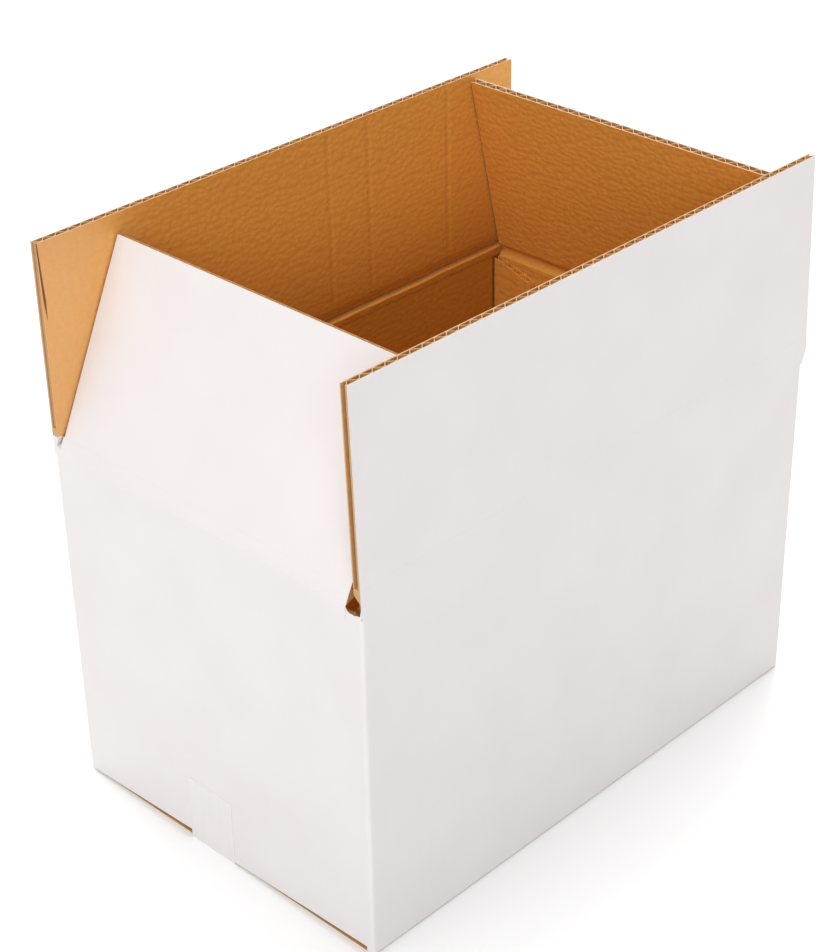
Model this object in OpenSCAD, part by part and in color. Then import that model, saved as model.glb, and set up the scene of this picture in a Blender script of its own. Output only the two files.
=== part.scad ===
// Corrugated box, open at the top. One slotted sheet of single-wall board is folded
// into four walls, glued at one corner, closed and taped at the base, and ends in
// four top flaps that hinge on their scores. Millimetres and degrees.
// The long walls run along X, the short end walls along Y, and the base is at Z = 0.

/* [Box] */
// Outside length of the long walls
box_length = 378; // [280:1:600]
// Outside width of the end walls
box_width = 250; // [180:1:400]
// Height of the end walls, from the base to their score
score_height = 230; // [120:1:400]

/* [Board] */
// Thickness of the board
board = 5; // [3.5:0.1:6]
// Thickness of each flat liner
liner = 0.8; // [0.4:0.05:1]
// Thickness of the wavy sheet between the liners
medium = 0.8; // [0.35:0.05:1]
// Depth that each wave crest is bonded into its liner
bond = 0.15; // [0.1:0.01:0.3]
// Length of one wave
flute_pitch = 8.7; // [6:0.1:12]
// Half the flat of a crest, as a share of half a wave
crest_share = 0.2; // [0.1:0.01:0.3]

/* [Folds] */
// Outside radius of the folded edges
fold_radius = 2.4; // [1:0.1:3]
// Flats in each folded edge
fold_facets = 4; // [2:1:8]
// Open gap at each top score, across the hinge line
score_gap = 0.6; // [0.4:0.05:1]
// Height of the crushed strip that ends the waves next to a score
crush = 9; // [8:0.5:14]
// How far the bead under each top score stands in from the wall
bead_proud = 0.3; // [0.2:0.1:0.8]
// Height of that bead
bead_height = 3.2; // [2.4:0.2:10]

/* [Slots] */
// Gap between the end flaps and the inside of the near long wall
near_gap = 6.6; // [5:0.1:10]
// Gap between the end flaps and the inside of the far long wall
far_gap = 1.1; // [1:0.1:10]
// Depth of the slot below the end score
slot_drop = 3; // [2.5:0.5:10]
// Depth of the open wave along a cut edge
edge_groove = 2.4; // [1.5:0.1:4]

/* [Top flaps] */
// Reach of the near long flap past the end wall on the glued side
near_overhang = 3; // [1:0.1:4]
// Reach of the far long flap past the end wall on the glued side
far_overhang = 7; // [1:0.1:8]
// Inward lean of the near long flap from upright
near_long_lean = 2; // [0:0.1:2]
// Inward lean of the far long flap from upright
far_long_lean = 0; // [0:0.1:2]
// Inward lean of the near end flap from upright
near_end_lean = 25; // [15:0.1:45]
// Inward lean of the far end flap from upright
far_end_lean = 12.5; // [5:0.1:30]

/* [Base] */
// Gap between the two long base flaps
base_seam = 1; // [0.5:0.1:3]
// Set-back of the base flap ends from the end walls
base_inset = 1; // [0.9:0.1:2]
// Height above the floor to which the end walls' folds sag at their lowest
sag_height = 1.2; // [0.5:0.1:3]

/* [Glued joint] */
// Width of the glue tab on the inside of the far end wall
tab_width = 33; // [25:1:45]
// Slant of each tab end, from the corner to the free edge
tab_slant = 10; // [5:1:15]
// Drop of the tab below the end score at the corner
tab_drop = 5.5; // [5.5:0.5:12]

/* [Tape] */
// Width of the tape along the base seam
tape_width = 38; // [30:1:60]
// Thickness of the tape
tape_thick = 0.3; // [0.2:0.05:0.4]
// Height of the tape on each end wall
tape_rise = 45; // [30:1:70]
// Distance of the tape's middle from the seam
tape_shift = 9; // [0:1:12]

/* [Hidden] */
half_length = box_length / 2;
half_width = box_width / 2;
half_gap = score_gap / 2;
// The long walls are one board higher, so their flaps close over the end flaps
long_score = score_height + board;
long_reach = half_width - base_seam / 2;
end_reach = long_reach + board;
end_span = box_width - 2 * board - near_gap - far_gap;
end_shift = (near_gap - far_gap) / 2;
slot_floor = score_height - slot_drop;
tab_top = score_height - tab_drop;
tab_foot = 2 * board + tab_drop;
overrun = board / 5;
white = "#f2efee";
clear = "#e8e6e2";

// Height of the wavy sheet's lower side at crest number k
function crest_level(k) = k % 2 == 0 ? liner - bond : board - liner + bond - medium;

// Lower side of the wavy sheet, raised by lift, over n half waves of length half_wave
function wave_side(n, half_wave, lift) = [
    for (k = [0:n])
        for (side = [-1, 1])
            [
                min(max((k + side * crest_share) * half_wave, 0), n * half_wave),
                crest_level(k) + lift
            ]
];

function reversed(points) = [for (i = [len(points) - 1:-1:0]) points[i]];

// Outline of the wavy sheet over a whole number of waves
function wave_outline(n, half_wave) = concat(
    wave_side(n, half_wave, 0),
    reversed(wave_side(n, half_wave, medium))
);

// Rounded outside edge of a fold, from the underside up to the wall face
function fold_arc(foot) = [
    for (i = [0:fold_facets])
        let (turn = 270 - 90 * i / fold_facets)
            [fold_radius * (1 + cos(turn)), foot + fold_radius * (1 + sin(turn))]
];

// Cross-section of a wall: rounded foot, slanted score on top and the bead below it
function wall_profile(foot, score) =
    let (lip = score - half_gap - board)
        concat(
            fold_arc(foot),
            [
                [0, score - half_gap],
                [board, lip],
                [board + bead_proud, lip - bead_proud],
                [board + bead_proud, lip - bead_height + bead_proud],
                [board, lip - bead_height],
                [board, foot]
            ]
        );

// Single-wall board: span along X, thickness along Y, waves running up along Z
module fluted_board(span, height) {
    waves = 2 * round(span / flute_pitch);
    translate([-span / 2, 0, 0])
        linear_extrude(height = height) {
            square([span, liner]);
            translate([0, board - liner]) square([span, liner]);
            polygon(wave_outline(waves, span / waves));
        }
}

// Shape drawn across the thickness and height, run along X over the span
module run_along(span, outline) {
    rotate([90, 0, 90])
        linear_extrude(height = span, center = true)
            polygon(outline);
}

// Top flap standing on its hinge line, outside face at Y = 0
module flap(span, reach) {
    run_along(span, [[0, half_gap], [board, half_gap + board], [board, crush], [0, crush]]);
    translate([0, 0, crush - bond]) fluted_board(span, reach - crush + bond);
}

// Flap of an end wall, outside face at X = 0, thickness towards +X
module end_flap() {
    rotate([0, 0, -90]) flap(end_span, end_reach);
}

// Long wall on the near side with the base flap that folds in from its foot
module long_side() {
    translate([0, -half_width, 0]) run_along(box_length, wall_profile(0, long_score));
    translate([base_inset - half_length, board - bond - half_width, 0])
        cube([box_length - 2 * base_inset, half_width - board + bond - base_seam / 2, board]);
}

// End wall on the near side with the base flap that lies inside the long ones
module end_side() {
    translate([-half_length, 0, 0])
        rotate([0, 0, -90])
            run_along(box_width - 2 * board + 2 * bond, wall_profile(board, score_height));
    translate([board - bond - half_length, 0, board])
        rotate([90, 0, 90])
            fluted_board(end_span, long_reach - board + bond);
}

// Glue tab with slanted ends, on the inside of the far end wall
module glue_tab() {
    translate([half_length - board + bond, half_width - board + bond - tab_width / 2, 0])
        intersection() {
            rotate([0, 0, 90]) fluted_board(tab_width, score_height);
            rotate([90, 0, -90])
                linear_extrude(height = 2 * board, center = true)
                    polygon([
                        [-tab_width / 2, tab_foot],
                        [tab_width / 2, tab_foot + tab_slant],
                        [tab_width / 2, tab_top - tab_slant],
                        [-tab_width / 2, tab_top]
                    ]);
        }
}

// Cut with a rounded foot into the near end of a wall, open at the top
module rounded_cut(width, foot, depth) {
    radius = width / 2;
    translate([-half_length - overrun, 0, 0])
        rotate([90, 0, 90])
            linear_extrude(height = depth + overrun)
                polygon(concat(
                    [[radius, long_score + overrun], [-radius, long_score + overrun]],
                    [
                        for (i = [0:2 * fold_facets])
                            let (turn = 180 + 90 * i / fold_facets)
                                [radius * cos(turn), foot + radius * (1 + sin(turn))]
                    ]
                ));
}

// Slot that parts the end wall from the far long wall at its near end
module slot_cut(gap) {
    translate([0, half_width - board - gap / 2, 0])
        rounded_cut(gap, slot_floor, board + bead_proud + overrun);
}

// Open wave along the cut end of the far long wall, from the slot up
module wall_end_groove() {
    translate([0, half_width - board / 2, 0])
        rounded_cut(board - 2 * liner, slot_floor + liner, edge_groove);
}

// Open wave along the cut end of the base flaps
module base_end_groove() {
    translate([-half_length - overrun, board - half_width, liner])
        cube([edge_groove + base_inset + overrun, box_width - 2 * board, board - 2 * liner]);
}

// Fold of the near end wall, sagging in two slants over the cut ends of the base flaps
module sagging_fold() {
    corner = half_width - fold_radius;
    far_edge = tape_shift + tape_width / 2;
    near_edge = tape_shift - tape_width / 2;
    level = board + fold_radius;
    translate([-half_length, 0, 0])
        rotate([90, 0, 90])
            linear_extrude(height = liner) {
                polygon([[far_edge, board], [corner, sag_height], [corner, level], [far_edge, level]]);
                polygon([[-corner, board], [near_edge, sag_height], [near_edge, level], [-corner, level]]);
            }
}

// Rounding of the upright fold at the near end of the far long wall, up to a height
module corner_round(top) {
    translate([-half_length, half_width, -overrun])
        rotate([0, 0, -90])
            linear_extrude(height = top + overrun)
                polygon(concat(
                    fold_arc(0),
                    [[-overrun, fold_radius], [-overrun, -overrun], [fold_radius, -overrun]]
                ));
}

// Both ends of a long wall, from its near end
module at_ends() {
    for (end = [0, 1])
        mirror([end, 0, 0]) children();
}

// Walls, closed base and glued joint, as folded
module folded_sheet() {
    long_side();
    rotate([0, 0, 180]) long_side();
    end_side();
    rotate([0, 0, 180]) end_side();
    glue_tab();
}

// Slots, rounded folds, open cut edges and the bed of the tape
module sheet_cuts() {
    at_ends() {
        slot_cut(far_gap);
        corner_round(long_score);
        base_end_groove();
    }
    mirror([0, 1, 0])
        at_ends() {
            slot_cut(near_gap);
            wall_end_groove();
            corner_round(slot_floor);
        }
    translate([-half_length - overrun, tape_shift - tape_width / 2, -overrun])
        cube([box_length + 2 * overrun, tape_width, tape_thick + overrun]);
}

// Walls and closed base of the sheet
module carton_body() {
    color(white) {
        difference() {
            folded_sheet();
            sheet_cuts();
        }
        at_ends() sagging_fold();
    }
}

// Flap of the long wall that faces the viewer
module near_long_flap() {
    color(white)
        translate([near_overhang / 2, -half_width, long_score])
            rotate([-near_long_lean, 0, 0])
                flap(box_length + near_overhang, long_reach);
}

// Flap of the long wall at the back
module far_long_flap() {
    color(white)
        translate([far_overhang / 2, half_width, long_score])
            rotate([far_long_lean, 0, 0])
                rotate([0, 0, 180]) flap(box_length + far_overhang, long_reach);
}

// Flap of the end wall that faces the viewer
module near_end_flap() {
    color(white)
        translate([-half_length, end_shift, score_height])
            rotate([0, near_end_lean, 0])
                end_flap();
}

// Flap of the end wall that carries the glue tab
module far_end_flap() {
    color(white)
        translate([half_length, end_shift, score_height])
            rotate([0, -far_end_lean, 0])
                rotate([0, 0, 180]) end_flap();
}

// Tape over the base seam, turned up onto both end walls
module base_tape() {
    outside = half_length + tape_thick;
    color(clear)
        translate([0, tape_shift, 0])
            rotate([90, 0, 0])
                linear_extrude(height = tape_width, center = true)
                    polygon([
                        [-outside, 0],
                        [outside, 0],
                        [outside, tape_rise],
                        [half_length, tape_rise],
                        [half_length, tape_thick],
                        [-half_length, tape_thick],
                        [-half_length, tape_rise],
                        [-outside, tape_rise]
                    ]);
}

carton_body();
near_long_flap();
far_long_flap();
near_end_flap();
far_end_flap();
base_tape();
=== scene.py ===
import math

import bpy
from mathutils import Matrix, Vector


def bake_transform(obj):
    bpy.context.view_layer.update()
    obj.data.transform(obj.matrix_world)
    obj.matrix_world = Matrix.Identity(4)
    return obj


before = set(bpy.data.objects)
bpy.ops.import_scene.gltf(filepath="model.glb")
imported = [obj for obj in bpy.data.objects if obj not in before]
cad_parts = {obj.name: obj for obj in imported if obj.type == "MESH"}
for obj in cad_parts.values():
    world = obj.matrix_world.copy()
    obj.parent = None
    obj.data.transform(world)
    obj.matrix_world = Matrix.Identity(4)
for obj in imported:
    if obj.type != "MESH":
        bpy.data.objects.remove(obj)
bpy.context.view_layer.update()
bpy.ops.object.select_all(action="DESELECT")

# Carton body
# The four walls and the closed base of one folded sheet of single-wall corrugated board:
# bleached white paper outside, brown kraft paper inside, a wavy sheet between them.
# The sheet is scored, folded and glued at one corner by a tab; its cut edges stay raw.
MM = 0.001
HALF_LENGTH = 189 * MM
HALF_WIDTH = 125 * MM
BOARD = 5 * MM
LINER = 0.8 * MM
FOLD_RADIUS = 2.4 * MM
END_SCORE = 230 * MM
LONG_SCORE = 235 * MM
SLOT_FLOOR = 227 * MM
SLOT_RADIUS = 5.8 * MM
WAVE_PITCH = 8.7 * MM
# How deep the white of the outer liner shows on a cut edge
WHITE_DEPTH = 0.2 * MM
# Places closer than this count as one
TOUCH = 0.01 * MM

WHITE_PAPER = "#E6E2E2"
WHITE_SHADE = "#DFDAD9"
KRAFT_PAPER = "#EBAB4D"
KRAFT_FIBRE = "#D68D3A"
KRAFT_PAINTED_SHADE = "#BA7B2B"
RAW_EDGE = "#CAA06E"
RAW_CORE = "#BA8E5A"
CREASE_SHADE = "#84572B"
WHITE_ROUGHNESS = 0.55
KRAFT_ROUGHNESS = 0.5

# Sizes of the papers' patterns
CLOUD_SIZE = 45 * MM
WANDER_SIZE = 16 * MM
WANDER_REACH = 3 * MM
RIPPLE_LENGTH = 5.4 * MM
RIPPLE_WIDTH = 3.6 * MM
FIBRE_WIDTH = 1.2 * MM
FIBRE_LENGTH = 6 * MM
PULP_SIZE = 2 * MM
MARK_REACH = 3.4 * MM
# Heights of their relief, in millimetres
PRINT_THROUGH = 0.012
RIPPLE_DEPTH = 0.32
MARK_DEPTH = 0.45


def linear(colour):
    """Linear RGBA of an sRGB hex colour."""
    parts = [int(colour[i:i + 2], 16) / 255 for i in (1, 3, 5)]
    return [c / 12.92 if c <= 0.04045 else ((c + 0.055) / 1.055) ** 2.4 for c in parts] + [1.0]


def add(tree, kind, values=None, links=None, **settings):
    """A shader node with its settings, its fixed inputs and the sockets linked to it."""
    node = tree.nodes.new("ShaderNode" + kind)
    for name, value in settings.items():
        setattr(node, name, value)
    for socket, value in (values or {}).items():
        node.inputs[socket].default_value = value
    for socket, source in (links or {}).items():
        tree.links.new(source, node.inputs[socket])
    return node


def board_material(name):
    """A new material and its emptied tree."""
    material = bpy.data.materials.new(name)
    material.use_nodes = True
    material.node_tree.nodes.clear()
    return material, material.node_tree


def paint_board(tree, place, white, raw, shade, shade_colour, painted_light_tints=(), marks=(), lying=None):
    """Papers of the board at a place: white or raw edge where those are 1, else kraft.

    The raw edge takes the painted shade's colour where shade is 1, and the kraft that of each painted light
    or shade tint in turn.
    Press marks run up the kraft at the given distances across the waves. The board stands upright,
    apart from where lying is 1.
    """
    part = add(tree, "SeparateXYZ", None, {0: place})
    across = add(tree, "Math", None, {0: part.outputs["X"], 1: part.outputs["Y"]}, operation="ADD")
    # Bleached liner: even, matt, with faint clouds in the pulp
    clouds = add(tree, "TexNoise", {"Scale": 1 / CLOUD_SIZE, "Detail": 3.0}, {"Vector": place})
    white_colour = add(tree, "Mix", {6: linear(WHITE_SHADE), 7: linear(WHITE_PAPER)},
                       {0: clouds.outputs["Fac"]}, data_type="RGBA")
    # Kraft liner: long fibres, and a surface crimped into short ripples that lie across the waves
    wander = add(tree, "TexNoise", {"Scale": 1 / WANDER_SIZE, "Detail": 1.0}, {"Vector": place})
    drift = add(tree, "VectorMath", {1: (WANDER_REACH, WANDER_REACH, WANDER_REACH)},
                {0: wander.outputs["Color"]}, operation="MULTIPLY")
    drifted = add(tree, "VectorMath", None, {0: place, 1: drift.outputs[0]}, operation="ADD")
    swayed = add(tree, "SeparateXYZ", None, {0: drifted.outputs[0]})
    swayed_across = add(tree, "Math", None, {0: swayed.outputs["X"], 1: swayed.outputs["Y"]},
                        operation="ADD")
    flat = add(tree, "CombineXYZ", None, {0: swayed_across.outputs[0], 1: swayed.outputs["Z"]}).outputs[0]
    if lying is not None:
        across = add(tree, "Mix", None, {0: lying, 2: across.outputs[0], 3: part.outputs["Y"]})
        laid = add(tree, "CombineXYZ", None, {0: swayed.outputs["Y"], 1: swayed.outputs["X"]})
        flat = add(tree, "Mix", None, {0: lying, 4: flat, 5: laid.outputs[0]},
                   data_type="VECTOR").outputs[1]
    ripple_place = add(tree, "Mapping", {"Scale": (1 / RIPPLE_LENGTH, 1 / RIPPLE_WIDTH, 1.0)},
                       {"Vector": flat})
    ripple = add(tree, "TexVoronoi", {"Scale": 1.0, "Smoothness": 0.35, "Randomness": 0.85},
                 {"Vector": ripple_place.outputs["Vector"]}, voronoi_dimensions="2D", feature="SMOOTH_F1")
    fibre_place = add(tree, "Mapping", {"Scale": (1 / FIBRE_WIDTH, 1 / FIBRE_WIDTH, 1 / FIBRE_LENGTH)},
                      {"Vector": place})
    fibre = add(tree, "TexNoise", {"Scale": 1.0, "Detail": 4.0}, {"Vector": fibre_place.outputs["Vector"]})
    fibre_share = add(tree, "MapRange", {1: 0.35, 2: 0.65, 3: 0.36, 4: 0.64}, {0: fibre.outputs["Fac"]})
    # The ripples are painted lighter on their crests and darker in their troughs, as light and shade
    ripple_light_and_shade = add(tree, "MapRange", {1: 0.1, 2: 0.6, 3: 0.08, 4: -0.08},
                       {0: ripple.outputs["Distance"]})
    kraft_share = add(tree, "Math", None, {0: fibre_share.outputs[0], 1: ripple_light_and_shade.outputs[0]},
                      operation="ADD", use_clamp=True)
    kraft_colour = add(tree, "Mix", {6: linear(KRAFT_FIBRE), 7: linear(KRAFT_PAPER)},
                       {0: kraft_share.outputs[0]}, data_type="RGBA")
    # Raw edge: cut pulp, greyer than the liners' faces
    pulp = add(tree, "TexNoise", {"Scale": 1 / PULP_SIZE, "Detail": 3.0}, {"Vector": place})
    raw_colour = add(tree, "Mix", {6: linear(RAW_CORE), 7: linear(RAW_EDGE)},
                     {0: pulp.outputs["Fac"]}, data_type="RGBA")
    raw_colour = add(tree, "Mix", {7: linear(shade_colour)}, {0: shade, 6: raw_colour.outputs[2]},
                     data_type="RGBA")
    for share, tint in painted_light_tints:
        kraft_colour = add(tree, "Mix", {7: linear(tint)}, {0: share, 6: kraft_colour.outputs[2]},
                           data_type="RGBA")
    inner_colour = add(tree, "Mix", None,
                       {0: raw, 6: kraft_colour.outputs[2], 7: raw_colour.outputs[2]}, data_type="RGBA")
    colour = add(tree, "Mix", None,
                 {0: white, 6: inner_colour.outputs[2], 7: white_colour.outputs[2]}, data_type="RGBA")
    # Heights in millimetres: ripples of the kraft, its press marks, and the waves printing through
    turn = add(tree, "Math", {1: 2 * math.pi / WAVE_PITCH}, {0: across.outputs[0]},
               operation="MULTIPLY")
    print_through = add(tree, "Math", None, {0: turn.outputs[0]}, operation="SINE")
    washboard = add(tree, "Math", {1: PRINT_THROUGH}, {0: print_through.outputs[0]}, operation="MULTIPLY")
    crimp_height = add(tree, "Math", {1: -RIPPLE_DEPTH}, {0: ripple.outputs["Distance"]},
                       operation="MULTIPLY")
    for mark in marks:
        off_mark = add(tree, "Math", {1: mark}, {0: across.outputs[0]}, operation="SUBTRACT")
        mark_reach = add(tree, "Math", None, {0: off_mark.outputs[0]}, operation="ABSOLUTE")
        pressed = add(tree, "MapRange", {1: 0.0, 2: MARK_REACH, 3: -MARK_DEPTH, 4: 0.0},
                      {0: mark_reach.outputs[0]}, interpolation_type="SMOOTHSTEP")
        crimp_height = add(tree, "Math", None, {0: crimp_height.outputs[0], 1: pressed.outputs[0]},
                           operation="ADD")
    crimp = add(tree, "Mix", {3: 0.0}, {0: white, 2: crimp_height.outputs[0]})
    height = add(tree, "Math", None, {0: washboard.outputs[0], 1: crimp.outputs[0]}, operation="ADD")
    bump = add(tree, "Bump", {"Strength": 1.0, "Distance": MM}, {"Height": height.outputs[0]})
    dull = add(tree, "Mix", {2: KRAFT_ROUGHNESS, 3: WHITE_ROUGHNESS}, {0: white})
    shader = add(tree, "BsdfPrincipled", {"IOR": 1.5},
                 {"Base Color": colour.outputs[2], "Roughness": dull.outputs[0],
                  "Normal": bump.outputs["Normal"]})
    add(tree, "OutputMaterial", None, {"Surface": shader.outputs[0]})


walls, tree = board_material("single_wall_board_walls")
place = add(tree, "TexCoord").outputs["Object"]
part = add(tree, "SeparateXYZ", None, {0: place})
side = add(tree, "Math", None, {0: part.outputs["X"]}, operation="ABSOLUTE")
front = add(tree, "Math", None, {0: part.outputs["Y"]}, operation="ABSOLUTE")
height = part.outputs["Z"]
# Outside of the walls: within the white liner of a rectangle with rounded corners
side_over = add(tree, "Math", {1: HALF_LENGTH - FOLD_RADIUS}, {0: side.outputs[0]},
                operation="SUBTRACT")
side_past = add(tree, "Math", {1: 0.0}, {0: side_over.outputs[0]}, operation="MAXIMUM")
front_over = add(tree, "Math", {1: HALF_WIDTH - FOLD_RADIUS}, {0: front.outputs[0]},
                 operation="SUBTRACT")
front_past = add(tree, "Math", {1: 0.0}, {0: front_over.outputs[0]}, operation="MAXIMUM")
corner = add(tree, "CombineXYZ", None, {0: side_past.outputs[0], 1: front_past.outputs[0]})
reach = add(tree, "VectorMath", None, {0: corner.outputs[0]}, operation="LENGTH")
on_walls = add(tree, "Math", {1: FOLD_RADIUS - WHITE_DEPTH}, {0: reach.outputs["Value"]},
               operation="GREATER_THAN")
# Folded feet of the walls: the long walls turn in at the floor, the end walls one board higher
foot_long = add(tree, "Math", {1: FOLD_RADIUS}, {0: height}, operation="LESS_THAN")
at_long_face = add(tree, "Math", {1: 0.0}, {0: front_over.outputs[0]}, operation="GREATER_THAN")
long_foot = add(tree, "Math", None, {0: foot_long.outputs[0], 1: at_long_face.outputs[0]},
                operation="MULTIPLY")
foot_end = add(tree, "Math", {1: BOARD + FOLD_RADIUS}, {0: height}, operation="LESS_THAN")
above_base = add(tree, "Math", {1: BOARD - TOUCH}, {0: height}, operation="GREATER_THAN")
at_end_face = add(tree, "Math", {1: 0.0}, {0: side_over.outputs[0]}, operation="GREATER_THAN")
end_band = add(tree, "Math", None, {0: foot_end.outputs[0], 1: above_base.outputs[0]},
               operation="MULTIPLY")
end_foot = add(tree, "Math", None, {0: end_band.outputs[0], 1: at_end_face.outputs[0]},
               operation="MULTIPLY")
underside = add(tree, "Math", {1: WHITE_DEPTH}, {0: height}, operation="LESS_THAN")
feet = add(tree, "Math", None, {0: long_foot.outputs[0], 1: end_foot.outputs[0]}, operation="MAXIMUM")
folded = add(tree, "Math", None, {0: feet.outputs[0], 1: underside.outputs[0]}, operation="MAXIMUM")
outside = add(tree, "Math", None, {0: on_walls.outputs[0], 1: folded.outputs[0]}, operation="MAXIMUM")
# Cut ends of the near long wall, next to its slots, and of the base flaps
slot_rise = add(tree, "Math", {1: SLOT_FLOOR + SLOT_RADIUS}, {0: height}, operation="SUBTRACT")
slot_drop = add(tree, "Math", {1: 0.0}, {0: slot_rise.outputs[0]}, operation="MINIMUM")
slot_middle = add(tree, "Math", {1: HALF_WIDTH - SLOT_RADIUS}, {0: part.outputs["Y"]},
                  operation="ADD")
slot_round = add(tree, "CombineXYZ", None, {0: slot_middle.outputs[0], 1: slot_drop.outputs[0]})
slot_reach = add(tree, "VectorMath", None, {0: slot_round.outputs[0]}, operation="LENGTH")
slot_cut = add(tree, "Math", {1: SLOT_RADIUS - WHITE_DEPTH}, {0: slot_reach.outputs["Value"]},
               operation="LESS_THAN")
base_height = add(tree, "Math", {1: BOARD}, {0: height}, operation="LESS_THAN")
base_end = add(tree, "Math", {1: HALF_LENGTH - BOARD}, {0: side.outputs[0]}, operation="GREATER_THAN")
base_cut = add(tree, "Math", None, {0: base_height.outputs[0], 1: base_end.outputs[0]},
               operation="MULTIPLY")
cut = add(tree, "Math", None, {0: slot_cut.outputs[0], 1: base_cut.outputs[0]}, operation="MAXIMUM")
uncut = add(tree, "Math", {0: 1.0}, {1: slot_cut.outputs[0]}, operation="SUBTRACT")
uncut_white = add(tree, "Math", None, {0: outside.outputs[0], 1: uncut.outputs[0]},
                  operation="MULTIPLY")
# Inside the near slot the crushed board is painted dark as shade; at the far one the white paper is turned
# in a little
WRAP_DEPTH = 3.5 * MM
SLOT_MARGIN = 0.5 * MM
NEAR_SLOT_WIDTH = 12 * MM
FAR_SLOT_WIDTH = 6.5 * MM
in_end_wall = add(tree, "Math", {1: -HALF_LENGTH + BOARD + SLOT_MARGIN}, {0: part.outputs["X"]},
                  operation="LESS_THAN")
above_slot = add(tree, "Math", {1: SLOT_FLOOR - SLOT_MARGIN}, {0: height}, operation="GREATER_THAN")
in_slots = add(tree, "Math", None, {0: in_end_wall.outputs[0], 1: above_slot.outputs[0]},
               operation="MULTIPLY")
at_near_slot = add(tree, "Math", {1: -HALF_WIDTH + NEAR_SLOT_WIDTH}, {0: part.outputs["Y"]},
                   operation="LESS_THAN")
near_slot = add(tree, "Math", None, {0: in_slots.outputs[0], 1: at_near_slot.outputs[0]},
                operation="MULTIPLY")
at_far_slot = add(tree, "Math", {1: HALF_WIDTH - FAR_SLOT_WIDTH}, {0: part.outputs["Y"]},
                  operation="GREATER_THAN")
at_outside = add(tree, "Math", {1: -HALF_LENGTH + WRAP_DEPTH}, {0: part.outputs["X"]},
                 operation="LESS_THAN")
far_slot = add(tree, "Math", None, {0: at_outside.outputs[0], 1: at_far_slot.outputs[0]},
               operation="MULTIPLY")
far_slot = add(tree, "Math", None, {0: far_slot.outputs[0], 1: above_slot.outputs[0]},
               operation="MULTIPLY")
white = add(tree, "Math", None, {0: uncut_white.outputs[0], 1: far_slot.outputs[0]}, operation="MAXIMUM")
# Painted shade: a dark line in the crease of the glued corner's fold, and deeper kraft inside the long
# walls
CORNER_LENGTH = 1.5 * MM
CORNER_DEPTH = 0.8 * MM
FACE_MARGIN = 0.3 * MM
at_tab = add(tree, "Math", {1: HALF_LENGTH - 2 * BOARD - CORNER_LENGTH}, {0: part.outputs["X"]},
             operation="GREATER_THAN")
at_far_wall = add(tree, "Math", {1: HALF_WIDTH - BOARD - CORNER_DEPTH}, {0: part.outputs["Y"]},
                  operation="GREATER_THAN")
corner_crease_shade = add(tree, "Math", None, {0: at_tab.outputs[0], 1: at_far_wall.outputs[0]},
                    operation="MULTIPLY")
crease_and_slot_shade = add(tree, "Math", None, {0: near_slot.outputs[0], 1: corner_crease_shade.outputs[0]},
              operation="MAXIMUM")
raw = add(tree, "Math", None, {0: cut.outputs[0], 1: crease_and_slot_shade.outputs[0]}, operation="MAXIMUM")
painted_shade = add(tree, "Math", {1: HALF_WIDTH - BOARD - FACE_MARGIN}, {0: front.outputs[0]},
           operation="GREATER_THAN")
# The base lies flat, up to two layers of board and a little over
on_base = add(tree, "Math", {1: 2 * BOARD + LINER}, {0: height}, operation="LESS_THAN")
paint_board(tree, place, white.outputs[0], raw.outputs[0], crease_and_slot_shade.outputs[0], CREASE_SHADE,
            painted_light_tints=[(painted_shade.outputs[0], KRAFT_PAINTED_SHADE)], lying=on_base.outputs[0])
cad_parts["carton_body"].data.materials.clear()
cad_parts["carton_body"].data.materials.append(walls)

# Top flaps
# The four flaps of the same sheet, each standing on its score and cut free at the slots.
# Their waves run up to an open cut edge; white paper outside, kraft inside.
FLAPS = {
    # node: (hinge point, outward normal, lean inward in degrees,
    #        and in millimetres its reach, and its start and end along the score)
    "near_long_flap": (Vector((0, -HALF_WIDTH, LONG_SCORE)), Vector((0, -1, 0)), 2.0, 124.5, -189, 192),
    "far_long_flap": (Vector((0, HALF_WIDTH, LONG_SCORE)), Vector((0, 1, 0)), 0.0, 124.5, -189, 196),
    "near_end_flap": (Vector((-HALF_LENGTH, 0, END_SCORE)), Vector((-1, 0, 0)), 25.0, 129.5, -113.4, 118.9),
    "far_end_flap": (Vector((HALF_LENGTH, 0, END_SCORE)), Vector((1, 0, 0)), 12.5, 129.5, -113.4, 118.9),
}
# Past this depth from a cut edge the open waves lie in a faint shade
WAVE_DEPTH = 0.8 * MM
WAVE_SHADE = "#C2966A"
# Height of the crushed slant at a flap's foot
SLANT_HEIGHT = 5.5 * MM
# How far up its cut end the white paper wraps round the foot of the far long flap
WRAP_HEIGHT = 4 * MM
# Press marks on the inside of the far long flap, in millimetres along it from the middle
PRESS_MARKS = [30, 64, 135]
# Painted shade darkens the kraft of the long flaps towards their fold, from this height down and ever
# faster
SHADE_HEIGHT = 90 * MM
SHADE_POWER = 2.0
# On the far long flap painted light makes the kraft paler towards the near end, where a split opens along
# its cut edge; the split is wear, its dark colour painted shade in the opening
KRAFT_PAINTED_LIGHT = "#E2A867"
SPLIT_SHADE = "#7A4618"
PAINTED_LIGHT_SHARE = 0.85
PAINTED_LIGHT_FULL = -180 * MM
PAINTED_LIGHT_END = -95 * MM
SPLIT_LENGTH = 48 * MM
# The split's distance from the edge and half its width, each at the top and at its lower end
SPLIT_INSET = (0.2 * MM, 2.2 * MM)
SPLIT_HALF = (0.4 * MM, 1.0 * MM)
# Share of its length along which its lower end narrows to a point
SPLIT_POINT = 0.3

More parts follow.
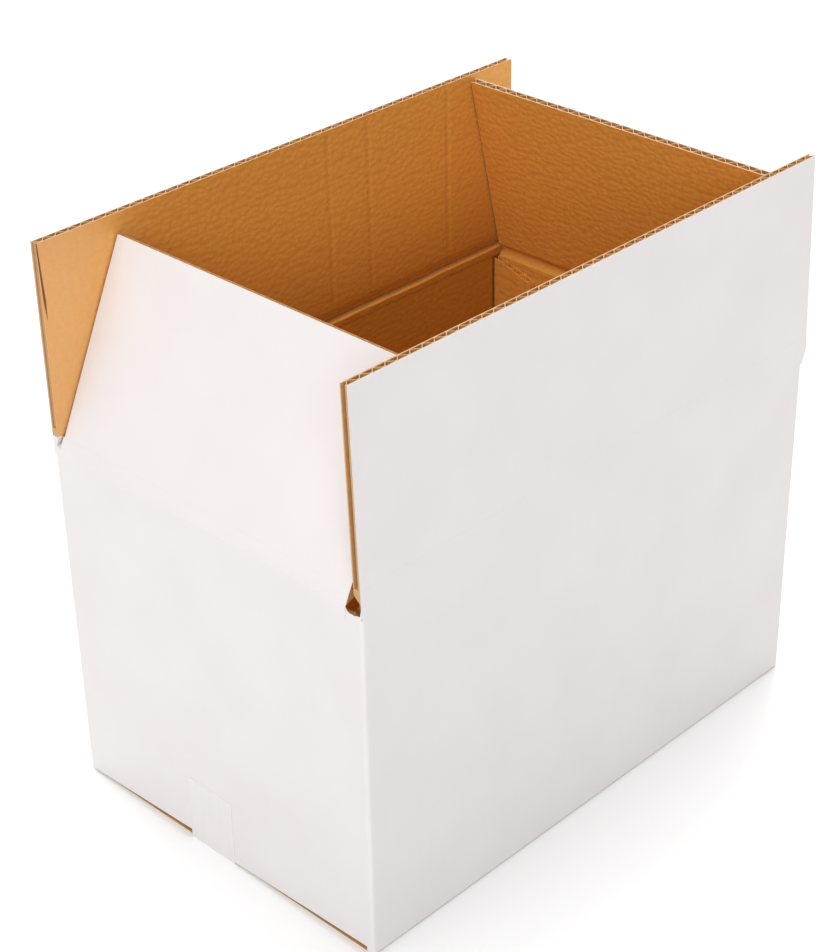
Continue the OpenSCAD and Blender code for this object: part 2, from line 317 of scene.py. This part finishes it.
for node, (hinge, outward, lean, reach, start, end) in FLAPS.items():
    finish, tree = board_material("single_wall_board_" + node)
    place = add(tree, "TexCoord").outputs["Object"]
    # Stands the flap upright, so that its pattern runs on from the wall below
    upright = Matrix.Rotation(math.radians(lean), 3, Vector((0, 0, 1)).cross(outward))
    stood = add(tree, "Mapping", {"Location": hinge - upright @ hinge, "Rotation": upright.to_euler()},
                {"Vector": place})
    part = add(tree, "SeparateXYZ", None, {0: stood.outputs["Vector"]})
    along = add(tree, "VectorMath", {1: outward}, {0: stood.outputs["Vector"]}, operation="DOT_PRODUCT")
    face = hinge.dot(outward)
    white = add(tree, "Math", {1: face - WHITE_DEPTH}, {0: along.outputs["Value"]},
                operation="GREATER_THAN")
    kraft = add(tree, "Math", {1: face - BOARD + WHITE_DEPTH}, {0: along.outputs["Value"]},
                operation="LESS_THAN")
    inner = add(tree, "Math", {0: 1.0}, {1: kraft.outputs[0]}, operation="SUBTRACT")
    run = part.outputs["X" if outward.x == 0 else "Y"]
    off_middle = add(tree, "Math", {1: (start + end) / 2 * MM}, {0: run}, operation="SUBTRACT")
    end_reach = add(tree, "Math", None, {0: off_middle.outputs[0]}, operation="ABSOLUTE")
    off_ends = add(tree, "Math", {1: (end - start) / 2 * MM - WAVE_DEPTH}, {0: end_reach.outputs[0]},
                   operation="LESS_THAN")
    off_top = add(tree, "Math", {1: hinge.z + reach * MM - WAVE_DEPTH}, {0: part.outputs["Z"]},
                  operation="LESS_THAN")
    shaded = add(tree, "Math", None, {0: off_ends.outputs[0], 1: off_top.outputs[0]}, operation="MULTIPLY")
    # The crushed slant at the foot is covered by the kraft, apart from its cut ends
    in_slant = add(tree, "Math", {1: hinge.z + SLANT_HEIGHT}, {0: part.outputs["Z"]},
                   operation="LESS_THAN")
    slanted = add(tree, "Math", None, {0: in_slant.outputs[0], 1: off_ends.outputs[0]},
                  operation="MULTIPLY")
    inner = add(tree, "Math", None, {0: inner.outputs[0], 1: slanted.outputs[0]},
                operation="SUBTRACT", use_clamp=True)
    painted_light_tints = []
    if outward.x == 0:
        nearness = add(tree, "MapRange", {1: hinge.z + SHADE_HEIGHT, 2: hinge.z, 3: 0.0, 4: 1.0},
                       {0: part.outputs["Z"]})
        painted_shade = add(tree, "Math", {1: SHADE_POWER}, {0: nearness.outputs[0]}, operation="POWER")
        painted_light_tints.append((painted_shade.outputs[0], KRAFT_PAINTED_SHADE))
    marks = []
    if node == "far_long_flap":
        # At its near end the white paper wraps round the corner a little way up the cut edge
        at_corner = add(tree, "Math", {1: start * MM + WHITE_DEPTH}, {0: run}, operation="LESS_THAN")
        at_foot = add(tree, "Math", {1: hinge.z + WRAP_HEIGHT}, {0: part.outputs["Z"]},
                      operation="LESS_THAN")
        wrapped = add(tree, "Math", None, {0: at_corner.outputs[0], 1: at_foot.outputs[0]},
                      operation="MULTIPLY")
        white = add(tree, "Math", None, {0: white.outputs[0], 1: wrapped.outputs[0]}, operation="MAXIMUM")
        painted_light = add(tree, "MapRange", {1: PAINTED_LIGHT_FULL, 2: PAINTED_LIGHT_END, 3: PAINTED_LIGHT_SHARE, 4: 0.0}, {0: run},
                   interpolation_type="SMOOTHSTEP")
        # The split runs down from the top, leaving the edge and widening as it goes, to a pointed end
        top = hinge.z + reach * MM
        split_end = top - SPLIT_LENGTH
        split_taper = split_end + SPLIT_POINT * SPLIT_LENGTH
        from_end = add(tree, "Math", {1: start * MM}, {0: run}, operation="SUBTRACT")
        split_middle = add(tree, "MapRange", {1: top, 2: split_end, 3: SPLIT_INSET[0], 4: SPLIT_INSET[1]},
                           {0: part.outputs["Z"]})
        split_growth = add(tree, "MapRange", {1: top, 2: split_end, 3: SPLIT_HALF[0], 4: SPLIT_HALF[1]},
                           {0: part.outputs["Z"]})
        split_point = add(tree, "MapRange", {1: split_end, 2: split_taper, 3: 0.0, 4: SPLIT_HALF[1]},
                          {0: part.outputs["Z"]})
        split_width = add(tree, "Math", None, {0: split_growth.outputs[0], 1: split_point.outputs[0]},
                          operation="MINIMUM")
        off_split = add(tree, "Math", None, {0: from_end.outputs[0], 1: split_middle.outputs[0]},
                        operation="SUBTRACT")
        split_reach = add(tree, "Math", None, {0: off_split.outputs[0]}, operation="ABSOLUTE")
        in_split = add(tree, "Math", None, {0: split_reach.outputs[0], 1: split_width.outputs[0]},
                       operation="LESS_THAN")
        painted_light_tints += [(painted_light.outputs[0], KRAFT_PAINTED_LIGHT), (in_split.outputs[0], SPLIT_SHADE)]
        marks = [mark * MM + HALF_WIDTH - BOARD for mark in PRESS_MARKS]
    paint_board(tree, stood.outputs["Vector"], white.outputs[0], inner.outputs[0], shaded.outputs[0],
                WAVE_SHADE, painted_light_tints=painted_light_tints, marks=marks)
    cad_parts[node].data.materials.clear()
    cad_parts[node].data.materials.append(finish)

# Score folds
# The strip of the same board crushed between wall and flap, so that it bends there. The white paper
# runs on over the outside; inside the long ones the kraft sinks into a crease with a bead below it.
SCORES = {
    # name: (flap node, flap's body, and in millimetres its start and end along the score, the set-back
    #        of its inside at each end, and how far the flap's far end stands past the wall's, which
    #        the fold makes up on a slant)
    "near_long_score": ("near_long_flap", "near_long", -189, 189, 2.4, 3),
    "far_long_score": ("far_long_flap", "far_long", -189, 189, 0, 7),
    "near_end_score": ("near_end_flap", "near_end", -113.4, 119.9, 0, 0),
    "far_end_score": ("far_end_flap", "far_end", -113.4, 118.9, 0, 0),
}
# Sections through a score in millimetres: depth from the outer face, height from the score line.
# The end flaps fold over by more than half a turn, so only the thin skin of their score bends.
LONG_OUTSIDE = [(-0.06, -9), (-0.1, -6), (-0.1, -3.5), (-0.1, -1.6), (-0.1, 0),
                (-0.1, 1.6), (-0.1, 3.5), (-0.1, 6), (-0.06, 9)]
LONG_INSIDE = [(5.05, 9.5), (5.04, 7), (4.85, 5), (4.4, 3), (3.9, 1), (3.4, -0.6), (3.0, -1.8),
               (3.1, -2.6), (4.0, -3.1), (5.1, -3.6), (5.6, -4.3), (5.5, -5.2), (5.45, -6.2),
               (5.42, -7.2), (5.4, -8.6), (5.05, -9.6)]
END_OUTSIDE = [(-0.06, -9), (-0.1, -6), (-0.1, -0.5), (-0.1, 0.5), (-0.1, 6), (-0.06, 9)]
END_INSIDE = [(0.9, 9), (0.9, 0.5), (0.9, -0.5), (0.9, -9)]
# How far a section's outside reaches below and above the score line, in millimetres
SECTION_REACH = 9
# How far each row of a section stops short of the score's start and end
END_TRIM = 0.05 * MM
SCORE_CUTS = 95
SMOOTH_ANGLE = math.radians(50)

# Bands of the inside, in millimetres from the score line: the bead, and the lip with its soft borders
BEAD_BAND = (-5.5, -3)
LIP_BAND = (-5.5, -1.5)
LIP_BORDERS = [(-6.5, -5.5), (-1.5, -0.5)]
LUMP_SIZE = 14 * MM
LUMP_HEIGHT = 1.4 * MM
LUMP_LEVEL = 0.55
SWAY_SIZE = 45 * MM
SWAY_HEIGHT = 2.6 * MM
bead_lumps = bpy.data.textures.new("bead_lumps", "CLOUDS")
bead_lumps.noise_scale = LUMP_SIZE
lip_sway = bpy.data.textures.new("lip_sway", "CLOUDS")
lip_sway.noise_scale = SWAY_SIZE

score_finish, tree = board_material("crushed_board_at_score")
# The strip's papers are told by its place at rest, kept on it as an attribute
place = add(tree, "Attribute", attribute_name="flat_place").outputs["Vector"]
depth = add(tree, "Attribute", attribute_name="board_depth").outputs["Fac"]
white = add(tree, "Math", {1: WHITE_DEPTH}, {0: depth}, operation="LESS_THAN")
core = add(tree, "Math", {1: BOARD - LINER}, {0: depth}, operation="LESS_THAN")
# At the near end of the far wall the white paper wraps round the corner up to the flap
part = add(tree, "SeparateXYZ", None, {0: place})
at_near_end = add(tree, "Math", {1: -HALF_LENGTH + WRAP_DEPTH}, {0: part.outputs["X"]},
                  operation="LESS_THAN")
at_far_wall = add(tree, "Math", {1: HALF_WIDTH - FAR_SLOT_WIDTH}, {0: part.outputs["Y"]},
                  operation="GREATER_THAN")
at_foot = add(tree, "Math", {1: LONG_SCORE + WRAP_HEIGHT}, {0: part.outputs["Z"]}, operation="LESS_THAN")
at_corner = add(tree, "Math", None, {0: at_near_end.outputs[0], 1: at_far_wall.outputs[0]},
                operation="MULTIPLY")
wrapped = add(tree, "Math", None, {0: at_corner.outputs[0], 1: at_foot.outputs[0]}, operation="MULTIPLY")
white = add(tree, "Math", None, {0: white.outputs[0], 1: wrapped.outputs[0]}, operation="MAXIMUM")
# At the near slot the crushed core is painted dark as shade between the liners, to just above the score
# line
NEAR_SLOT_TOP = LONG_SCORE + 1 * MM
in_near_end = add(tree, "Math", {1: -HALF_LENGTH + BOARD + SLOT_MARGIN}, {0: part.outputs["X"]},
                  operation="LESS_THAN")
past_liner = add(tree, "Math", {1: -HALF_WIDTH + 2 * LINER}, {0: part.outputs["Y"]},
                 operation="GREATER_THAN")
at_near_slot = add(tree, "Math", {1: -HALF_WIDTH + NEAR_SLOT_WIDTH}, {0: part.outputs["Y"]},
                   operation="LESS_THAN")
at_flap_foot = add(tree, "Math", {1: NEAR_SLOT_TOP}, {0: part.outputs["Z"]}, operation="LESS_THAN")
near_slot = add(tree, "Math", None, {0: past_liner.outputs[0], 1: at_near_slot.outputs[0]},
                operation="MULTIPLY")
near_slot = add(tree, "Math", None, {0: near_slot.outputs[0], 1: at_flap_foot.outputs[0]},
                operation="MULTIPLY")
near_slot = add(tree, "Math", None, {0: near_slot.outputs[0], 1: in_near_end.outputs[0]},
                operation="MULTIPLY")
raw = add(tree, "Math", None, {0: core.outputs[0], 1: near_slot.outputs[0]}, operation="MAXIMUM")
# Painted shade: the kraft of the long scores is as dark below the lip as the wall's, and above it as the
# flap's foot
LIP_DEPTH = 1.2 * MM
LIP_FOOT = (4.2 * MM, 5.2 * MM)
front = add(tree, "Math", None, {0: part.outputs["Y"]}, operation="ABSOLUTE")
at_long_walls = add(tree, "Math", {1: HALF_WIDTH - BOARD - LIP_DEPTH}, {0: front.outputs[0]},
                    operation="GREATER_THAN")
below_lip = add(tree, "MapRange",
                {1: LONG_SCORE - LIP_FOOT[0], 2: LONG_SCORE - LIP_FOOT[1], 3: 0.0, 4: 1.0},
                {0: part.outputs["Z"]})
nearness = add(tree, "MapRange", {1: LONG_SCORE + SHADE_HEIGHT, 2: LONG_SCORE, 3: 0.0, 4: 1.0},
               {0: part.outputs["Z"]})
foot_share = add(tree, "Math", {1: SHADE_POWER}, {0: nearness.outputs[0]}, operation="POWER")
above_score = add(tree, "Math", {1: LONG_SCORE}, {0: part.outputs["Z"]}, operation="GREATER_THAN")
on_foot = add(tree, "Math", None, {0: foot_share.outputs[0], 1: above_score.outputs[0]},
              operation="MULTIPLY")
painted_shade_share = add(tree, "Math", None, {0: below_lip.outputs[0], 1: on_foot.outputs[0]},
                 operation="MAXIMUM")
painted_shade = add(tree, "Math", None, {0: at_long_walls.outputs[0], 1: painted_shade_share.outputs[0]},
           operation="MULTIPLY")
# Painted shade darkens the crease above the lip, and painted light makes the near end of the far score as
# pale as the flap
CREASE_HEIGHT = LONG_SCORE - 1.9 * MM
CREASE_FADE = (0.8 * MM, 2.2 * MM)
CREASE_SHARE = 0.7
off_crease = add(tree, "Math", {1: CREASE_HEIGHT}, {0: part.outputs["Z"]}, operation="SUBTRACT")
crease_reach = add(tree, "Math", None, {0: off_crease.outputs[0]}, operation="ABSOLUTE")
in_crease = add(tree, "MapRange", {1: CREASE_FADE[0], 2: CREASE_FADE[1], 3: CREASE_SHARE, 4: 0.0},
                {0: crease_reach.outputs[0]}, interpolation_type="SMOOTHSTEP")
painted_crease_shade = add(tree, "Math", None, {0: at_long_walls.outputs[0], 1: in_crease.outputs[0]},
                  operation="MULTIPLY")
painted_light_end = add(tree, "MapRange", {1: PAINTED_LIGHT_FULL, 2: PAINTED_LIGHT_END, 3: PAINTED_LIGHT_SHARE, 4: 0.0},
               {0: part.outputs["X"]}, interpolation_type="SMOOTHSTEP")
painted_light = add(tree, "Math", None, {0: painted_light_end.outputs[0], 1: at_far_wall.outputs[0]}, operation="MULTIPLY")
paint_board(tree, place, white.outputs[0], raw.outputs[0], near_slot.outputs[0], CREASE_SHADE,
            painted_light_tints=[(painted_crease_shade.outputs[0], CREASE_SHADE), (painted_shade.outputs[0], KRAFT_PAINTED_SHADE),
                   (painted_light.outputs[0], KRAFT_PAINTED_LIGHT)])

for name, (node, body, start, end, set_back, slant) in SCORES.items():
    hinge, outward, lean = FLAPS[node][:3]
    on_long = abs(outward.y) > 0
    length = Vector((1, 0, 0)) if on_long else Vector((0, 1, 0))
    inward = -outward
    fold = Matrix.Rotation(-math.radians(lean), 3, Vector((0, 0, 1)).cross(outward))

    def section_point(depth_mm, height_mm):
        step = inward * depth_mm * MM + Vector((0, 0, height_mm * MM))
        return hinge + (fold @ step if height_mm > 0 else step)

    outside, inside = (LONG_OUTSIDE, LONG_INSIDE) if on_long else (END_OUTSIDE, END_INSIDE)
    section = [section_point(*p) for p in outside + inside]
    # Each row's start and end: the inside set back, the far end out to the flap's above the score
    spans = []
    for i, (_, height_mm) in enumerate(outside + inside):
        trim = END_TRIM + (set_back * MM if i >= len(outside) else 0)
        past = slant * MM * min(1, max(0, 1 + height_mm / SECTION_REACH))
        spans.append((start * MM + trim, end * MM + past - trim))
    bpy.ops.object.select_all(action="DESELECT")
    bpy.ops.mesh.primitive_plane_add(size=1)
    score = bpy.context.object
    score.name = score.data.name = name
    # One edge along the score, cut into short lengths and pulled round the section
    bpy.ops.object.mode_set(mode="EDIT")
    bpy.ops.mesh.merge(type="CENTER")
    bpy.ops.transform.translate(value=section[0] + length * spans[0][0])
    bpy.ops.mesh.extrude_region_move(
        TRANSFORM_OT_translate={"value": length * (spans[0][1] - spans[0][0])})
    bpy.ops.mesh.select_all(action="SELECT")
    bpy.ops.mesh.subdivide(number_cuts=SCORE_CUTS)
    bpy.ops.mesh.select_all(action="SELECT")
    for here in range(len(section)):
        there = (here + 1) % len(section)
        shift = (sum(spans[there]) - sum(spans[here])) / 2
        scale = (spans[there][1] - spans[there][0]) / (spans[here][1] - spans[here][0])
        bpy.ops.mesh.extrude_region_move(
            TRANSFORM_OT_translate={"value": section[there] - section[here] + length * shift})
        bpy.ops.transform.resize(value=[scale if axis else 1 for axis in length])
    bpy.ops.mesh.select_all(action="SELECT")
    bpy.ops.mesh.remove_doubles(threshold=TOUCH)
    bpy.ops.mesh.fill_holes(sides=len(section))
    bpy.ops.mesh.select_all(action="SELECT")
    bpy.ops.mesh.normals_make_consistent(inside=False)
    bpy.ops.object.mode_set(mode="OBJECT")
    bpy.ops.object.shade_smooth_by_angle(angle=SMOOTH_ANGLE)
    # The board's depth tells its papers apart
    steps = [vertex.co - hinge for vertex in score.data.vertices]
    depths = [(fold.inverted() @ step if step.z > 0 else step).dot(inward) for step in steps]
    papers = score.data.attributes.new("board_depth", "FLOAT", "POINT")
    papers.data.foreach_set("value", [BOARD if depth > WHITE_DEPTH else 0.0 for depth in depths])
    flat_place = score.data.attributes.new("flat_place", "FLOAT_VECTOR", "POINT")
    flat_place.data.foreach_set("vector", [c for vertex in score.data.vertices for c in vertex.co])

    def inside_band(low_mm, high_mm):
        return [i for i, step in enumerate(steps)
                if depths[i] > BOARD / 2 and low_mm * MM < step.z < high_mm * MM]

    # The bead is pressed unevenly
    bead = score.vertex_groups.new(name="bead")
    bead.add(inside_band(*BEAD_BAND), 1.0, "REPLACE")
    lumps = score.modifiers.new("lumps", "DISPLACE")
    lumps.texture = bead_lumps
    lumps.texture_coords = "LOCAL"
    lumps.vertex_group = "bead"
    lumps.strength = LUMP_HEIGHT
    lumps.mid_level = LUMP_LEVEL
    bpy.ops.object.modifier_apply(modifier="lumps")
    # Its lip wanders up and down along the score
    lip = score.vertex_groups.new(name="lip")
    lip.add(inside_band(*LIP_BAND), 1.0, "REPLACE")
    for border in LIP_BORDERS:
        lip.add(inside_band(*border), 0.5, "REPLACE")
    sway = score.modifiers.new("sway", "DISPLACE")
    sway.texture = lip_sway
    sway.texture_coords = "LOCAL"
    sway.direction = "Z"
    sway.vertex_group = "lip"
    sway.strength = SWAY_HEIGHT
    sway.mid_level = 0.5
    bpy.ops.object.modifier_apply(modifier="sway")
    score.data.materials.append(score_finish)
    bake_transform(score)

# Base tape
# Clear packing film pressed over the seam of the base flaps and up onto both end walls,
# where the white paper under it shows through; only its gloss sets it off.
STREAK_LENGTH = 60 * MM
STREAK_WIDTH = 3 * MM
FILM_RELIEF = 0.05 * MM
film = bpy.data.materials.new("packing_film")
film.use_nodes = True
tree = film.node_tree
gloss = tree.nodes["Principled BSDF"]
place = add(tree, "TexCoord").outputs["Object"]
stretch = add(tree, "Mapping", {"Scale": (1 / STREAK_LENGTH, 1 / STREAK_WIDTH, 1 / STREAK_LENGTH)},
              {"Vector": place})
drawn = add(tree, "TexNoise", {"Scale": 1.0, "Detail": 2.0}, {"Vector": stretch.outputs["Vector"]})
film_colour = add(tree, "Mix", {6: linear(WHITE_SHADE), 7: linear(WHITE_PAPER)},
                  {0: drawn.outputs["Fac"]}, data_type="RGBA")
film_bump = add(tree, "Bump", {"Strength": 0.15, "Distance": FILM_RELIEF},
                {"Height": drawn.outputs["Fac"]})
tree.links.new(film_colour.outputs[2], gloss.inputs["Base Color"])
tree.links.new(film_bump.outputs["Normal"], gloss.inputs["Normal"])
gloss.inputs["Roughness"].default_value = 0.22
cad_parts["base_tape"].data.materials.clear()
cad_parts["base_tape"].data.materials.append(film)

# Floor
# A plain pale studio floor with a faint sheen, so that the box stands on a soft reflection.
FLOOR_SIDE = 60.0
FLOOR_PAINT = "#F3F3F3"
bpy.ops.object.select_all(action="DESELECT")
bpy.ops.mesh.primitive_plane_add(size=FLOOR_SIDE)
floor = bpy.context.object
floor.name = floor.data.name = "studio_floor"
floor_finish = bpy.data.materials.new("pale_lacquered_floor")
floor_finish.use_nodes = True
lacquer = floor_finish.node_tree.nodes["Principled BSDF"]
lacquer.inputs["Base Color"].default_value = linear(FLOOR_PAINT)
lacquer.inputs["Roughness"].default_value = 0.16
lacquer.inputs["Specular IOR Level"].default_value = 0.4
floor.data.materials.append(floor_finish)

# Studio light
# An even white room with four wide, far, soft lights: in front, high on the left, overhead, and
# high behind the box, which whitens the floor and leaves the foot of the box in a faint shade.
STUDIO_LIGHTS = {
    # name: (direction it comes from, strength, width of its face in radians)
    "front_light": ((-1.3, -1.3, 0.85), 0.85, 0.6),
    "upper_left_light": ((-1.2, -0.2, 2.0), 0.95, 0.9),
    "overhead_light": ((0, -0.001, 2.0), 0.45, 0.9),
    "back_light": ((0.5, 0.5, 1.0), 1.65, 0.9),
}
world = bpy.data.worlds.new("white_room")
world.use_nodes = True
world.node_tree.nodes["Background"].inputs["Color"].default_value = (1, 1, 1, 1)
world.node_tree.nodes["Background"].inputs["Strength"].default_value = 0.5
bpy.context.scene.world = world
bpy.context.scene.view_settings.view_transform = "Standard"
for name, (place, strength, width) in STUDIO_LIGHTS.items():
    light = bpy.data.objects.new(name, bpy.data.lights.new(name, "SUN"))
    bpy.context.scene.collection.objects.link(light)
    light.location = place
    light.rotation_euler = (-light.location).to_track_quat("-Z", "Y").to_euler()
    light.data.energy = strength
    light.data.angle = width

# Camera
# Looks down on the near corner from the photograph's angle; place and turn are in the part's frame.
YAW, PITCH, ROLL = 45.316, 30.612, -1.163
CAMERA_PLACE = Vector((-818.161, -786.859, 850.857)) * MM
# Focal length and height of the photograph in pixels, and the sensor's width in millimetres
FOCAL_LENGTH = 2188.658
PHOTO_HEIGHT = 952
SENSOR_WIDTH = 36
forward = Vector((
    math.cos(math.radians(PITCH)) * math.sin(math.radians(YAW)),
    math.cos(math.radians(PITCH)) * math.cos(math.radians(YAW)),
    -math.sin(math.radians(PITCH)),
))
level = Vector((math.cos(math.radians(YAW)), -math.sin(math.radians(YAW)), 0))
right = level * math.cos(math.radians(ROLL)) + level.cross(forward) * math.sin(math.radians(ROLL))
up = right.cross(forward)
camera = bpy.data.objects.new("photo_camera", bpy.data.cameras.new("photo_camera"))
bpy.context.scene.collection.objects.link(camera)
camera.matrix_world = Matrix((
    (right.x, up.x, -forward.x, CAMERA_PLACE.x),
    (right.y, up.y, -forward.y, CAMERA_PLACE.y),
    (right.z, up.z, -forward.z, CAMERA_PLACE.z),
    (0, 0, 0, 1),
))
camera.data.sensor_width = SENSOR_WIDTH
camera.data.lens = FOCAL_LENGTH * SENSOR_WIDTH / PHOTO_HEIGHT
bpy.context.scene.camera = camera
